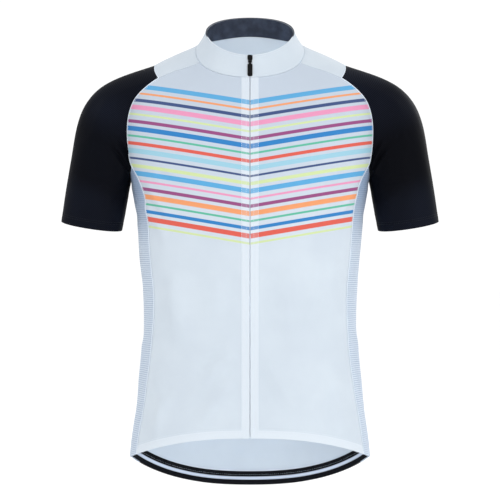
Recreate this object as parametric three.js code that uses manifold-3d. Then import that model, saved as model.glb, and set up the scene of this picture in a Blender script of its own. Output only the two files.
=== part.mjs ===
// A short-sleeved cycling jersey with a full-length front zip, filled out as it is when worn.
// Millimetres. +X is the wearer's left, -Y is the front and +Z is up. The origin is the centre
// of the neck's base, level with the shoulders that hold the jersey up.
//
// The body is one smooth surface, a stack of rings from the tail to the collar's top edge.
// A place on it is a pair: "round", the angle about the body, and "up", a row number in
// bodyRings. Every panel is a patch of that surface between its seams, given a wall.
import * as THREE from "three";
import Module from "manifold-3d";

// Driving sizes.
const clothWall = 1.2;
const liningWall = 0.8;
const tapeWall = 0.7;
const elasticWall = 1.0;
const seamGap = 0.45;
const layerGap = 0.35;
const zipSlot = 1.4;
const sliderShare = 0.2;
const tapeWidth = 13;
const tapeFromEdge = 0.6;
const liningFromZip = 13.6;
const coilFromEdge = 1.5;
const coilWall = 1.6;
const coilLastShare = 0.55;
const elasticFromHem = 1.5;
const elasticHeight = 23.5;

// How many cells each stretch of seam is cut into. Neighbours share these, so their edges match.
const sideSeamCells = 15;
const frontArmholeCells = 12;
const lowerArmholeCells = 6;
const underarmCells = 6;
const backArmholeCells = 11;
const shoulderCells = 3;
const frontNeckCells = 6;
const backNeckCells = 14;
const yokeCells = 4;
const collarCells = 3;
const sleeveCells = 16;
const evenPasses = 300;

const front = -1;
const back = 1;
const rightSide = Math.PI;
const frontMiddle = 1.5 * Math.PI;

// A table's rows as objects with its columns' names.
const table = (columns, rows) =>
  rows.map((row) => Object.fromEntries(columns.map((name, i) => [name, row[i]])));

// The body's rings from the bottom up. sideZ is the ring's height at the side, frontDrop and
// backRise its fall to the front and rise to the back, and sideSlope its rise past the side.
// square is the ring's superellipse power: 2 is an ellipse. backDip lowers the back between the
// side and the middle, where the neck seam sags.
const bodyRings = table(
  [
    "name", "sideZ", "frontDrop", "backRise", "sideSlope",
    "halfWidth", "frontDepth", "backDepth", "square", "backDip",
  ],
  [
    ["below the tail", -722, 0, 0, 0, 194, 107, 106, 2.4, 0],
    ["hem", -640, 0, 0, 0, 193, 107, 105, 2.4, 0],
    ["hip", -588, 0, 0, 0, 188, 105, 102, 2.4, 0],
    ["high hip", -530, 0, 0, 0, 178.5, 101, 96, 2.4, 0],
    ["below the waist", -470, 0, 0, 0, 172, 97, 90, 2.4, 0],
    ["waist", -410, 0, 0, 0, 170, 96, 87, 2.4, 0],
    ["above the waist", -350, 0, 0, 0, 173, 100, 90, 2.4, 0],
    ["ribs", -290, 2, 0, 0, 178.5, 107, 97, 2.4, 0],
    ["below the arm", -235, 6, 0, 1, 183, 114, 104, 2.4, 0],
    ["armpit", -192, 12, 0, 3, 190, 119, 110, 2.4, 0],
    ["chest", -150, 24, 0, 8, 199, 121, 113, 2.4, 0],
    ["upper chest", -106, 38, 0, 16, 205, 120, 114, 2.4, 0],
    ["below the shoulder", -68, 50, 1, 24, 201, 117, 112, 2.35, 0],
    ["shoulder point", -31, 65, -1, 32, 184, 112, 107, 2.3, 0],
    ["shoulder", -7, 72, 4, 38, 153, 104, 99, 2.2, 0],
    ["inner shoulder", 7, 66, 13, 46, 118, 92, 86, 2.1, 0],
    ["neck seam", 19, 51, 29, 60, 88, 79, 71, 2, 50],
    ["collar top", 48, 45, 29.7, 35, 71, 68, 61, 2, 0],
  ],
);
const neckUp = 16;
const collarTopUp = 17;

// The hem's edge: its height at the sides, its rise to the front and its fall to the tail.
const hem = { sideZ: -631, frontRise: 39, frontPower: 1.6, tailDrop: 58.7, tailPower: 1.45 };

// Seams as the front view shows them, on the wearer's right. Each row is a place on the cloth.
const sideSeam = [
  { x: -166, z: -532 },
  { x: -154.5, z: -437 },
  { x: -152, z: -375 },
  { x: -157.5, z: -308 },
  { x: -163, z: -232 },
  { x: -170, z: -199 },
  { x: -180, z: -178 },
];
const frontSeamCorner = { x: -187.6, z: -169.5 };
const frontArmhole = [
  { x: -191.5, z: -148 },
  { x: -193.2, z: -120 },
  { x: -191.5, z: -91 },
  { x: -183.5, z: -66 },
  { x: -167.5, z: -48 },
];
const yokeCorner = { x: -144, z: -30 };
const backSeamCorner = { x: -186.5, z: -168 };
const backArmhole = [
  { x: -186.5, z: -140 },
  { x: -183.5, z: -110 },
  { x: -178, z: -80 },
  { x: -170, z: -50 },
];
const backShoulder = [
  { x: -162.5, y: 57 },
  { x: -157, y: 40 },
  { x: -153.5, y: 20 },
];
const armholeTopX = -152;
const armpitZ = -192;
const yokeNeckX = -80;
const yokeMiddle = { x: -105, z: -13.5 };

// The right sleeve's rings from the armhole to the cuff. The outer line runs along the top of
// the arm and the inner line under it. frontDrop tips the ring down at the front.
const sleeveRings = table(
  ["name", "outerX", "outerZ", "innerX", "innerZ", "middleY", "halfDepth", "frontDrop"],
  [
    ["armhole", -152, -8, -190, -192, 0, 53, 0],
    ["over the shoulder", -196, -20, -192, -202, 0, 58, 0],
    ["shoulder cap", -238, -39, -193.5, -212, 0, 61, 0],
    ["below the cap", -265, -69, -195, -222, 0, 61, 1],
    ["upper arm", -278, -106, -197, -232, 0, 59, 2],
    ["middle", -284, -143, -198.5, -241, 0, 57, 3],
    ["lower", -290.5, -181, -200.5, -251, 0, 55, 4],
    ["above the cuff", -296.5, -218, -202.5, -260, 0, 53, 5],
    ["cuff", -301.5, -254.5, -204.5, -269.5, 0, 51, 6],
  ],
);
const sleeveSquare = 2.15;
const seamReach = 0.6;

// Soft creases that run up the sleeve from the armpit, as the front view shows them.
const sleeveFolds = [
  { side: front, x1: -196, z1: -168, x2: -226, z2: -112, depth: 3.2, width: 9 },
  { side: front, x1: -204, z1: -176, x2: -240, z2: -134, depth: 2.6, width: 9 },
  { side: back, x1: -205, z1: -166, x2: -236, z2: -116, depth: 3, width: 10 },
];

// Flutes that hang in the tail, as its inside shows below the front hem.
const tailFlutes = [
  { degrees: 52, depth: 1.6, width: 7 },
  { degrees: 71, depth: 2.2, width: 6 },
  { degrees: 88, depth: 1.5, width: 7 },
  { degrees: 106, depth: 2.4, width: 6 },
  { degrees: 127, depth: 1.8, width: 7 },
];
const fluteBottomZ = -690;
const fluteHeight = 150;

const colours = {
  whiteKnit: 0xdfe7ef,
  sideMesh: 0xc4d0de,
  blackKnit: 0x121318,
  navyLining: 0x2c3240,
  blackElastic: 0x14161a,
  whiteTape: 0xe6ecf2,
  blackMetal: 0x0c0c0e,
};

// A smooth value through a table's rows, at a row number that may lie between two of them.
function smoothRow(rows, at) {
  const last = rows.length - 1;
  const start = Math.max(0, Math.min(Math.floor(at), last - 1));
  const share = at - start;
  const [a, b, c, d] = [-1, 0, 1, 2].map((step) => rows[Math.max(0, Math.min(start + step, last))]);
  const made = {};
  for (const key of Object.keys(b)) {
    if (typeof b[key] !== "number") continue;
    const slopeIn = (c[key] - a[key]) / 2;
    const slopeOut = (d[key] - b[key]) / 2;
    const rise = c[key] - b[key];
    const square = 3 * rise - 2 * slopeIn - slopeOut;
    const cube = slopeIn + slopeOut - 2 * rise;
    made[key] = b[key] + share * (slopeIn + share * (square + share * cube));
  }
  return made;
}

function signedPower(value, power) {
  return Math.sign(value) * Math.abs(value) ** power;
}

function ringHeight(ring, sine) {
  const end = sine < 0 ? ring.sideSlope - ring.frontDrop : ring.backRise - ring.sideSlope;
  const dip = sine < 0 ? 0 : ring.backDip * sine * sine * (1 - sine);
  return ring.sideZ + ring.sideSlope * sine + end * sine * sine - dip;
}

function fluteDepth(round, z) {
  const fade = Math.max(0, 1 - (z - fluteBottomZ) / fluteHeight);
  const degrees = THREE.MathUtils.radToDeg(round);
  const depthOf = (flute) => flute.depth * Math.exp(-(((degrees - flute.degrees) / flute.width) ** 2));
  return fade * fade * tailFlutes.reduce((sum, flute) => sum + depthOf(flute), 0);
}

// The point of the body's surface at an angle and a height.
function bodyPoint(round, up) {
  const ring = smoothRow(bodyRings, up);
  const [cosine, sine] = [Math.cos(round), Math.sin(round)];
  const z = ringHeight(ring, sine);
  const depth = sine < 0 ? ring.frontDepth : ring.backDepth - fluteDepth(round, z);
  return new THREE.Vector3(
    ring.halfWidth * signedPower(cosine, 2 / ring.square),
    depth * signedPower(sine, 2 / ring.square),
    z,
  );
}

function bodyNormal(round, up) {
  const turn = 0.02;
  const climb = 0.04;
  const along = bodyPoint(round + turn, up).sub(bodyPoint(round - turn, up));
  const high = bodyPoint(round, Math.min(up + climb, collarTopUp));
  const rise = high.sub(bodyPoint(round, up - climb));
  return along.cross(rise).normalize();
}

// The angle at which a ring has a given x, on the front or the back.
function roundAtX(up, x, side) {
  const ring = smoothRow(bodyRings, up);
  const share = Math.min(1, Math.abs(x) / ring.halfWidth);
  const fromSide = Math.acos(share ** (ring.square / 2));
  return x < 0 ? rightSide - side * fromSide : side * fromSide;
}

// Halving the range of "up" until the test turns from low to high.
function findUp(low, high, isLow) {
  for (let step = 0; step < 40; step += 1) {
    const middle = (low + high) / 2;
    if (isLow(middle)) low = middle;
    else high = middle;
  }
  return (low + high) / 2;
}

// The place on the body that the front or back view shows at x and z.
function placeAt({ x, z }, side) {
  const up = findUp(0, collarTopUp, (level) => {
    const ring = smoothRow(bodyRings, level);
    const tooNarrow = ring.halfWidth < Math.abs(x) && level > 9;
    return !tooNarrow && bodyPoint(roundAtX(level, x, side), level).z < z;
  });
  return { round: roundAtX(up, x, side), up };
}

// The place on the shoulder that the top view shows at x and y.
function shoulderPlace({ x, y }) {
  const side = Math.sign(y);
  const up = findUp(12, neckUp, (level) => {
    const wide = smoothRow(bodyRings, level).halfWidth > Math.abs(x);
    return wide && Math.abs(bodyPoint(roundAtX(level, x, side), level).y) > Math.abs(y);
  });
  return { round: roundAtX(up, x, side), up };
}

function hemPlace(round, above = 0) {
  const sine = Math.sin(round);
  const z =
    sine < 0
      ? hem.sideZ + hem.frontRise * Math.abs(sine) ** hem.frontPower
      : hem.sideZ - hem.tailDrop * sine ** hem.tailPower;
  return { round, up: findUp(0, 4, (level) => bodyPoint(round, level).z < z + above) };
}

function between(a, b, share) {
  return {
    round: THREE.MathUtils.lerp(a.round, b.round, share),
    up: THREE.MathUtils.lerp(a.up, b.up, share),
  };
}

const pointAt = (place) => bodyPoint(place.round, place.up);

// A smooth seam through some places, cut into cells of equal real length.
function seam(places, cells) {
  const fine = 24 * (places.length - 1);
  const dense = [];
  for (let i = 0; i <= fine; i += 1) dense.push(smoothRow(places, (i * (places.length - 1)) / fine));
  const lengths = [0];
  for (let i = 1; i <= fine; i += 1) {
    lengths.push(lengths[i - 1] + pointAt(dense[i]).distanceTo(pointAt(dense[i - 1])));
  }
  const cut = [];
  for (let cell = 0; cell <= cells; cell += 1) {
    const want = (lengths[fine] * cell) / cells;
    const after = Math.max(1, lengths.findIndex((length) => length >= want - 1e-9));
    const share = (want - lengths[after - 1]) / (lengths[after] - lengths[after - 1]);
    cut.push(between(dense[after - 1], dense[after], share));
  }
  return cut;
}

// The seams of the wearer's right half.
const armholeTop = {
  round: rightSide,
  up: findUp(12, neckUp, (level) => smoothRow(bodyRings, level).halfWidth > -armholeTopX),
};
const armpit = { round: rightSide, up: findUp(6, 12, (level) => bodyPoint(rightSide, level).z < armpitZ) };
const frontCorner = placeAt(frontSeamCorner, front);
const backCorner = placeAt(backSeamCorner, back);
const yokeArmhole = placeAt(yokeCorner, front);
const yokeNeck = { round: roundAtX(neckUp, yokeNeckX, front), up: neckUp };
const frontSeamPlaces = sideSeam.map((row) => placeAt(row, front));
const backSeamPlaces = sideSeam.map((row) => placeAt(row, back));
const frontHemCorner = hemPlace(frontSeamPlaces[0].round - 0.02);
const backHemCorner = hemPlace(backSeamPlaces[0].round + 0.02);

const frontSide = seam([frontHemCorner, ...frontSeamPlaces, frontCorner], sideSeamCells);
const backSide = seam([backHemCorner, ...backSeamPlaces, backCorner], sideSeamCells);
const frontArm = seam(
  [frontCorner, ...frontArmhole.map((row) => placeAt(row, front)), yokeArmhole],
  frontArmholeCells,
);
const shoulderMiddle = between(armholeTop, yokeArmhole, 0.5);
const shoulderArm = seam([armholeTop, shoulderMiddle, yokeArmhole], shoulderCells);
const backArmPlaces = backArmhole.map((row) => placeAt(row, back));
const backArm = seam(
  [backCorner, ...backArmPlaces, ...backShoulder.map(shoulderPlace), armholeTop],
  backArmholeCells,
);
const underarm = seam([frontCorner, armpit, backCorner], underarmCells);
const yokeSeam = seam([yokeNeck, placeAt(yokeMiddle, front), yokeArmhole], yokeCells);
const zipEdge = (() => {
  const edgeAt = (up) => ({ round: roundAtX(up, -zipSlot / 2, front), up });
  const bottom = hemPlace(frontMiddle).up;
  const levels = [];
  for (let step = 0; step <= 30; step += 1)
    levels.push(edgeAt(THREE.MathUtils.lerp(bottom, neckUp, step / 30)));
  return seam(levels, sideSeamCells + lowerArmholeCells);
})();
const zipTop = zipEdge.at(-1);
const neckFront = seam([zipTop, between(zipTop, yokeNeck, 0.5), yokeNeck], frontNeckCells);
const backMiddle = { round: Math.PI / 2, up: neckUp };
const neckBackMiddle = between(yokeNeck, backMiddle, 0.5);
const neckBackHalf = seam([yokeNeck, neckBackMiddle, backMiddle], backNeckCells / 2);

// The same place on the wearer's left.
const mirrored = (place) => ({ round: Math.PI - place.round, up: place.up });

// A patch between four edges. Each edge is a list of places; rows run from the bottom to the top.
function patch(bottom, top, left, right) {
  const [columns, rows] = [bottom.length - 1, left.length - 1];
  const grid = [];
  for (let r = 0; r <= rows; r += 1) {
    const v = r / rows;
    grid.push(
      bottom.map((_, c) => {
        const u = c / columns;
        const blend = (key) =>
          (1 - v) * bottom[c][key] +
          v * top[c][key] +
          (1 - u) * left[r][key] +
          u * right[r][key] -
          (1 - v) * ((1 - u) * bottom[0][key] + u * bottom[columns][key]) -
          v * ((1 - u) * top[0][key] + u * top[columns][key]);
        return { round: blend("round"), up: blend("up") };
      }),
    );
  }
  return evened(grid);
}

// Evens a patch's cells out so that none folds over, whatever the outline (Winslow's equations).
// The lowest row of cells stays level with the hem.
function evened(grid) {
  const size = { round: 170, up: 35 };
  const dot = (a, b) => a.round * b.round * size.round ** 2 + a.up * b.up * size.up ** 2;
  const mix = (list) => {
    const sum = { round: 0, up: 0 };
    for (const [weight, place] of list) {
      sum.round += weight * place.round;
      sum.up += weight * place.up;
    }
    return sum;
  };
  for (let pass = 0; pass < evenPasses; pass += 1)
    for (let r = 2; r < grid.length - 1; r += 1)
      for (let c = 1; c < grid[0].length - 1; c += 1) {
        const [below, here, above] = [grid[r - 1], grid[r], grid[r + 1]];
        const across = mix([[0.5, here[c + 1]], [-0.5, here[c - 1]]]);
        const rise = mix([[0.5, above[c]], [-0.5, below[c]]]);
        const [stiffAcross, stiffRise, skew] = [dot(rise, rise), dot(across, across), dot(across, rise)];
        const whole = 2 * (stiffAcross + stiffRise);
        const corner = -skew / 2 / whole;
        here[c] = mix([
          [stiffAcross / whole, here[c + 1]],
          [stiffAcross / whole, here[c - 1]],
          [stiffRise / whole, above[c]],
          [stiffRise / whole, below[c]],
          [corner, above[c + 1]],
          [corner, below[c - 1]],
          [-corner, above[c - 1]],
          [-corner, below[c + 1]],
        ]);
      }
  return grid;
}

// Cloth is a sheet of points with a way out at each, and a wall is built between two depths.
// "facing" is the surface's own way out, and "normals" the one that the wall follows.
function sheet(points, normals, closed = false) {
  return { points, normals, facing: normals.map((row) => [...row]), closed };
}

function sheetOf(grid) {
  return sheet(
    grid.map((row) => row.map(pointAt)),
    grid.map((row) => row.map((place) => bodyNormal(place.round, place.up))),
  );
}

// The way into a sheet from a point on one of the named edges, or from a corner of two of them.
function inwardWay({ points, facing, closed }, edges, r, c) {
  const [lastRow, lastColumn] = [points.length - 1, points[0].length - 1];
  const round = (i) => (i + lastColumn + 1) % (lastColumn + 1);
  const column = (i) => (closed ? round(i) : THREE.MathUtils.clamp(i, 0, lastColumn));
  const across = points[r][column(c + 1)].clone().sub(points[r][column(c - 1)]).normalize();
  const above = points[Math.min(r + 1, lastRow)][c];
  const rise = above.clone().sub(points[Math.max(r - 1, 0)][c]).normalize();
  const out = facing[r][c];
  const ways = [];
  if (r === 0 && edges.includes("bottom")) ways.push(out.clone().cross(across));
  if (r === lastRow && edges.includes("top")) ways.push(across.cross(out));
  if (c === 0 && edges.includes("left")) ways.push(rise.clone().cross(out));
  if (c === lastColumn && edges.includes("right")) ways.push(out.clone().cross(rise));
  if (!ways.length) return null;
  const [one, other = one] = ways.map((way) => way.normalize());
  return one.clone().add(other).divideScalar(1 + one.dot(other));
}

// Draws a sheet's free edges in by a distance.
function drawIn(cloth, edges, distance) {
  const moved = cloth.points.map((row, r) =>
    row.map((point, c) => {
      const way = inwardWay(cloth, edges, r, c);
      return way ? point.clone().addScaledVector(way, distance) : point;
    }),
  );
  cloth.points = moved;
  return cloth;
}

// Sewn edges start on the same points. Each sheet's edge moves half the seam gap away from its
// neighbours, and they share one way out there, so that their walls end in one mitre. The sheets
// are the wearer's right half, and what lies on the left is read as its mirror.
function joinSeams(pieces) {
  const met = 0.05;
  const places = [];
  for (const [cloth, edges] of pieces)
    cloth.points.forEach((row, r) =>
      row.forEach((point, c) => {
        const inward = inwardWay(cloth, edges, r, c);
        if (!inward) return;
        const flip = new THREE.Vector3(point.x > 0 ? -1 : 1, 1, 1);
        places.push({
          cloth,
          r,
          c,
          flip,
          point: point.clone().multiply(flip),
          outward: cloth.facing[r][c].clone().multiply(flip),
          inward: inward.multiply(flip),
        });
      }),
    );
  for (const { cloth, r, c, flip, outward, point, inward } of places) {
    const neighbours = new Map();
    for (const other of places)
      if (other.cloth !== cloth && other.point.distanceTo(point) < met) neighbours.set(other.cloth, other);
    const mean = outward.clone();
    const apart = inward.clone();
    for (const other of neighbours.values()) {
      mean.add(other.outward);
      apart.addScaledVector(other.inward, -1 / neighbours.size);
    }
    apart.setLength((inward.length() * seamGap) / 2);
    cloth.normals[r][c] = mean.normalize().multiply(flip);
    cloth.points[r][c] = point.clone().add(apart).multiply(flip);
  }
}

// A closed solid between two depths of a sheet, measured outwards from its points.
function wallGeometry({ points, normals, closed }, outer, inner) {
  const [rows, columns] = [points.length, points[0].length];
  const vertices = [];
  for (const depth of [outer, inner])
    points.forEach((row, r) =>
      row.forEach((point, c) => {
        vertices.push(...point.clone().addScaledVector(normals[r][c], depth).toArray());
      }),
    );
  const count = rows * columns;
  const at = (r, c, layer) => layer * count + r * columns + (c % columns);
  const faces = [];
  const quad = (a, b, c, d) => faces.push(a, b, c, a, c, d);
  const cellsRound = closed ? columns : columns - 1;
  // Each cell is split along its shorter diagonal.
  for (let r = 0; r < rows - 1; r += 1)
    for (let c = 0; c < cellsRound; c += 1) {
      const next = (c + 1) % columns;
      const rising = points[r][c].distanceTo(points[r + 1][next]);
      const falling = points[r][next].distanceTo(points[r + 1][c]);
      const outside = [at(r, c, 0), at(r, c + 1, 0), at(r + 1, c + 1, 0), at(r + 1, c, 0)];
      const inside = [at(r, c, 1), at(r + 1, c, 1), at(r + 1, c + 1, 1), at(r, c + 1, 1)];
      if (falling < rising) for (const corners of [outside, inside]) corners.push(corners.shift());
      quad(...outside);
      quad(...inside);
    }
  const top = rows - 1;
  for (let c = 0; c < cellsRound; c += 1) {
    quad(at(0, c, 1), at(0, c + 1, 1), at(0, c + 1, 0), at(0, c, 0));
    quad(at(top, c, 0), at(top, c + 1, 0), at(top, c + 1, 1), at(top, c, 1));
  }
  const end = columns - 1;
  if (!closed)
    for (let r = 0; r < rows - 1; r += 1) {
      quad(at(r, 0, 0), at(r + 1, 0, 0), at(r + 1, 0, 1), at(r, 0, 1));
      quad(at(r, end, 1), at(r + 1, end, 1), at(r + 1, end, 0), at(r, end, 0));
    }
  const geometry = new THREE.BufferGeometry();
  geometry.setAttribute("position", new THREE.Float32BufferAttribute(vertices, 3));
  geometry.setIndex(faces);
  return geometry;
}

// Turns a geometry's faces round.
function turnedRound(geometry) {
  const index = geometry.getIndex();
  for (let i = 0; i < index.count; i += 3) {
    const second = index.getX(i + 1);
    index.setX(i + 1, index.getX(i + 2));
    index.setX(i + 2, second);
  }
  return geometry;
}

const jersey = new THREE.Group();

function addMesh(name, geometry, colour, roughness = 0.85, metalness = 0) {
  const material = new THREE.MeshStandardMaterial({ color: colour, roughness, metalness });
  const mesh = new THREE.Mesh(geometry, material);
  mesh.name = name;
  jersey.add(mesh);
  return mesh;
}

// A wall for each side of the body: the sheet is the wearer's right, and its mirror the left.
function addPair(name, rightSheet, outer, inner, colour) {
  const right = wallGeometry(rightSheet, outer, inner);
  const left = turnedRound(wallGeometry(rightSheet, outer, inner).scale(-1, 1, 1));
  addMesh(`${name}_right`, right, colour);
  addMesh(`${name}_left`, left, colour);
}

// Front panels, from the zip to the side seam, the armhole and the yoke seam.
const frontColumns = frontNeckCells + yokeCells + frontArmholeCells - lowerArmholeCells;
const frontHem = [];
for (let c = 0; c <= frontColumns; c += 1) {
  const round = THREE.MathUtils.lerp(zipEdge[0].round, frontHemCorner.round, c / frontColumns);
  frontHem.push(hemPlace(round));
}
frontHem[0] = zipEdge[0];
const upperArm = frontArm.slice(lowerArmholeCells).reverse();
const frontTop = [...neckFront, ...yokeSeam.slice(1), ...upperArm.slice(1)];
const frontRightEdge = [...frontSide, ...frontArm.slice(1, lowerArmholeCells + 1)];
// Seen from outside, the wearer's right front runs from the side seam to the zip.
const frontGrid = patch(frontHem, frontTop, zipEdge, frontRightEdge).map((row) => row.reverse());
const frontSheet = sheetOf(frontGrid);

// Side panels of open mesh, from the hem to the armpit.
const sideHemMiddle = hemPlace(rightSide);
const sideHemPlaces = seam([frontHemCorner, sideHemMiddle, backHemCorner], underarmCells);
const sideHem = sideHemPlaces.map((place) => hemPlace(place.round));
const sideGrid = patch(sideHem, underarm, frontSide, backSide).map((row) => row.reverse());
const sideSheet = sheetOf(sideGrid);

// The back is one piece. It runs over the shoulders to the yoke seams at the front.
const halfBackTop = [...yokeSeam.slice().reverse(), ...neckBackHalf.slice(1)];
const backTop = [...halfBackTop, ...halfBackTop.slice(0, -1).reverse().map(mirrored)];
const backRightEdge = [...backSide, ...backArm.slice(1), ...shoulderArm.slice(1)];
const backColumns = backTop.length - 1;
const backHem = [];
for (let c = 0; c <= backColumns; c += 1) {
  const otherCorner = mirrored(backHemCorner).round;
  backHem.push(hemPlace(THREE.MathUtils.lerp(backHemCorner.round, otherCorner, c / backColumns)));
}
const backLeftEdge = backRightEdge.map(mirrored);
const backGrid = patch(backHem, backTop, backRightEdge, backLeftEdge).map((row) => row.reverse());
const backSheet = sheetOf(backGrid);

// The sleeves are tubes from the armhole to the cuff. The tube starts on the armhole's own
// points, and the difference from its first ring fades out along the arm.
const armholeLoop = [
  ...backArm.slice(1).reverse(),
  ...underarm.slice(1).reverse(),
  ...frontArm.slice(0, -1),
  ...shoulderArm.slice(1).reverse(),
];
const loopArmpit = backArmholeCells + underarmCells / 2;

function ringMiddle({ outerX, innerX, middleY, outerZ, innerZ }) {
  return new THREE.Vector3((outerX + innerX) / 2, middleY, (outerZ + innerZ) / 2);
}

// From the ring's middle to its outermost point.
function ringReach({ outerX, innerX, outerZ, innerZ }) {
  return new THREE.Vector3((outerX - innerX) / 2, 0, (outerZ - innerZ) / 2);
}

function sleeveRingPoint(ring, angle) {
  const middle = ringMiddle(ring);
  const reach = ringReach(ring);
  const backShare = signedPower(Math.sin(angle), 2 / sleeveSquare);
  middle.addScaledVector(reach, signedPower(Math.cos(angle), 2 / sleeveSquare));
  return middle.add(new THREE.Vector3(0, ring.halfDepth * backShare, ring.frontDrop * backShare));
}

function foldDepth(point) {
  return sleeveFolds.reduce((sum, fold) => {
    if (Math.sign(point.y) !== fold.side) return sum;
    const start = new THREE.Vector2(fold.x1, fold.z1);
    const run = new THREE.Vector2(fold.x2, fold.z2).sub(start);
    const here = new THREE.Vector2(point.x, point.z).sub(start);
    const share = THREE.MathUtils.clamp(here.dot(run) / run.lengthSq(), 0, 1);
    const distance = here.addScaledVector(run, -share).length();
    return sum + fold.depth * Math.exp(-((distance / fold.width) ** 2));
  }, 0);
}

function gridNormals(points) {
  const [rows, columns] = [points.length, points[0].length];
  return points.map((row, r) =>
    row.map((_, c) => {
      const around = row[(c + 1) % columns].clone().sub(row[(c + columns - 1) % columns]);
      const next = points[Math.min(r + 1, rows - 1)][c];
      const along = next.clone().sub(points[Math.max(r - 1, 0)][c]);
      return around.cross(along).normalize();
    }),
  );
}

const loopPoints = armholeLoop.map(pointAt);
const sleevePoints = (() => {
  const first = sleeveRings[0];
  const middle = ringMiddle(first);
  const reach = ringReach(first);
  const loopAngles = loopPoints.map((point) => {
    const here = point.clone().sub(middle);
    const angle = Math.atan2(here.y / first.halfDepth, here.dot(reach) / reach.lengthSq());
    return angle < -1e-3 ? angle + 2 * Math.PI : angle;
  });
  const evenAngles = loopPoints.map((_, k) =>
    k <= loopArmpit
      ? (Math.PI * k) / loopArmpit
      : Math.PI * (1 + (k - loopArmpit) / (loopPoints.length - loopArmpit)),
  );
  const rows = [];
  for (let r = 0; r <= sleeveCells; r += 1) {
    const share = r / sleeveCells;
    const ring = smoothRow(sleeveRings, share * (sleeveRings.length - 1));
    const even = THREE.MathUtils.smoothstep(share, 0, 1);
    const hold = Math.max(0, 1 - share / seamReach) ** 2;
    rows.push(
      loopPoints.map((point, k) => {
        const angle = THREE.MathUtils.lerp(loopAngles[k], evenAngles[k], even);
        const offset = point.clone().sub(sleeveRingPoint(first, loopAngles[k]));
        return sleeveRingPoint(ring, angle).addScaledVector(offset, hold);
      }),
    );
  }
  return rows;
})();
const sleeveOut = gridNormals(sleevePoints);
sleevePoints.forEach((row, r) =>
  row.forEach((point, c) => {
    const fade = Math.min(1, r / 3);
    point.addScaledVector(sleeveOut[r][c], -fade * foldDepth(point));
  }),
);
const sleeveSheet = sheet(sleevePoints, gridNormals(sleevePoints), true);

// The stand collar and its dark lining run round the neck from one side of the zip to the other.
const halfNeck = [...neckFront, ...neckBackHalf.slice(1)];
const neckLine = [...halfNeck, ...halfNeck.slice(0, -1).reverse().map(mirrored)];
const collarGrid = [];
for (let r = 0; r <= collarCells; r += 1) {
  const up = THREE.MathUtils.lerp(neckUp, collarTopUp, r / collarCells);
  const slotRound = roundAtX(up, -zipSlot / 2, front);
  collarGrid.push(
    neckLine
      .map((place) => {
        const fromMiddle = (place.round - Math.PI / 2) / (neckLine[0].round - Math.PI / 2);
        return { round: Math.PI / 2 + fromMiddle * (slotRound - Math.PI / 2), up };
      })
      .reverse(),
  );
}
const collarSheet = sheetOf(collarGrid);

joinSeams([
  [frontSheet, ["top", "left"]],
  [sideSheet, ["top", "left", "right"]],
  [backSheet, ["top", "left", "right"]],
  [sleeveSheet, ["bottom"]],
  [collarSheet, ["bottom"]],
]);
addPair("front", frontSheet, 0, -clothWall, colours.whiteKnit);
addPair("side_panel", sideSheet, 0, -clothWall, colours.sideMesh);
addMesh("back", wallGeometry(backSheet, 0, -clothWall), colours.whiteKnit);
addPair("sleeve", sleeveSheet, 0, -clothWall, colours.blackKnit);
addMesh("collar", wallGeometry(collarSheet, 0, -clothWall), colours.whiteKnit);

// The lining stops short of the zip's tapes, on the collar's first and last cells.
const shifted = (from, to, distance) =>
  from.clone().addScaledVector(to.clone().sub(from).normalize(), distance);
const liningSheet = sheet(
  collarSheet.points.map((row) => [
    shifted(row[0], row[1], liningFromZip),
    ...row.slice(1, -1),
    shifted(row.at(-1), row.at(-2), liningFromZip),
  ]),
  collarSheet.normals,
);
drawIn(liningSheet, ["bottom"], 1);
const liningTop = -clothWall - layerGap;
const liningBack = liningTop - liningWall;
addMesh("collar_lining", wallGeometry(liningSheet, liningTop, liningBack), colours.navyLining);

// The zip lies behind the edges of the fronts and the collar: a tape on each side of a coil.
// Its rows start on the panels' own edge points and run along their first cells.
const zipRows = [];
for (const [sheet, lastRow] of [
  [frontSheet, frontSheet.points.length - 2],
  [collarSheet, collarCells],
])
  for (let r = 0; r <= lastRow; r += 1) {
    const [inner, edge] = sheet.points[r].slice(-2);
    const reach = inner.clone().sub(edge).normalize();
    zipRows.push({ edge, reach, outward: sheet.normals[r].at(-1) });
  }
const coilRows = zipRows.slice(0, -2);
coilRows.push({
  edge: zipRows.at(-3).edge.clone().lerp(zipRows.at(-2).edge, coilLastShare),
  reach: zipRows.at(-3).reach,
  outward: zipRows.at(-3).outward,
});
const mirrorX = (vector) => new THREE.Vector3(-vector.x, vector.y, vector.z);
const along = ({ edge, reach }, distance) => edge.clone().addScaledVector(reach, distance);
const tapeTop = -clothWall - layerGap;
const tapeSheet = sheet(
  zipRows.map((row) => [along(row, tapeWidth), along(row, tapeFromEdge)]),
  zipRows.map((row) => [row.outward, row.outward]),
);
drawIn(tapeSheet, ["bottom", "top"], 1);
addPair("zip_tape", tapeSheet, tapeTop, tapeTop - tapeWall, colours.whiteTape);
const coilTop = tapeTop - tapeWall - layerGap;
const coilSheet = sheet(
  coilRows.map((row) => [along(row, coilFromEdge), mirrorX(along(row, coilFromEdge))]),
  coilRows.map((row) => [row.outward, mirrorX(row.outward)]),
);
drawIn(coilSheet, ["bottom"], 1);
addMesh("zip_coil", wallGeometry(coilSheet, coilTop, coilTop - coilWall), colours.whiteTape);

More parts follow.
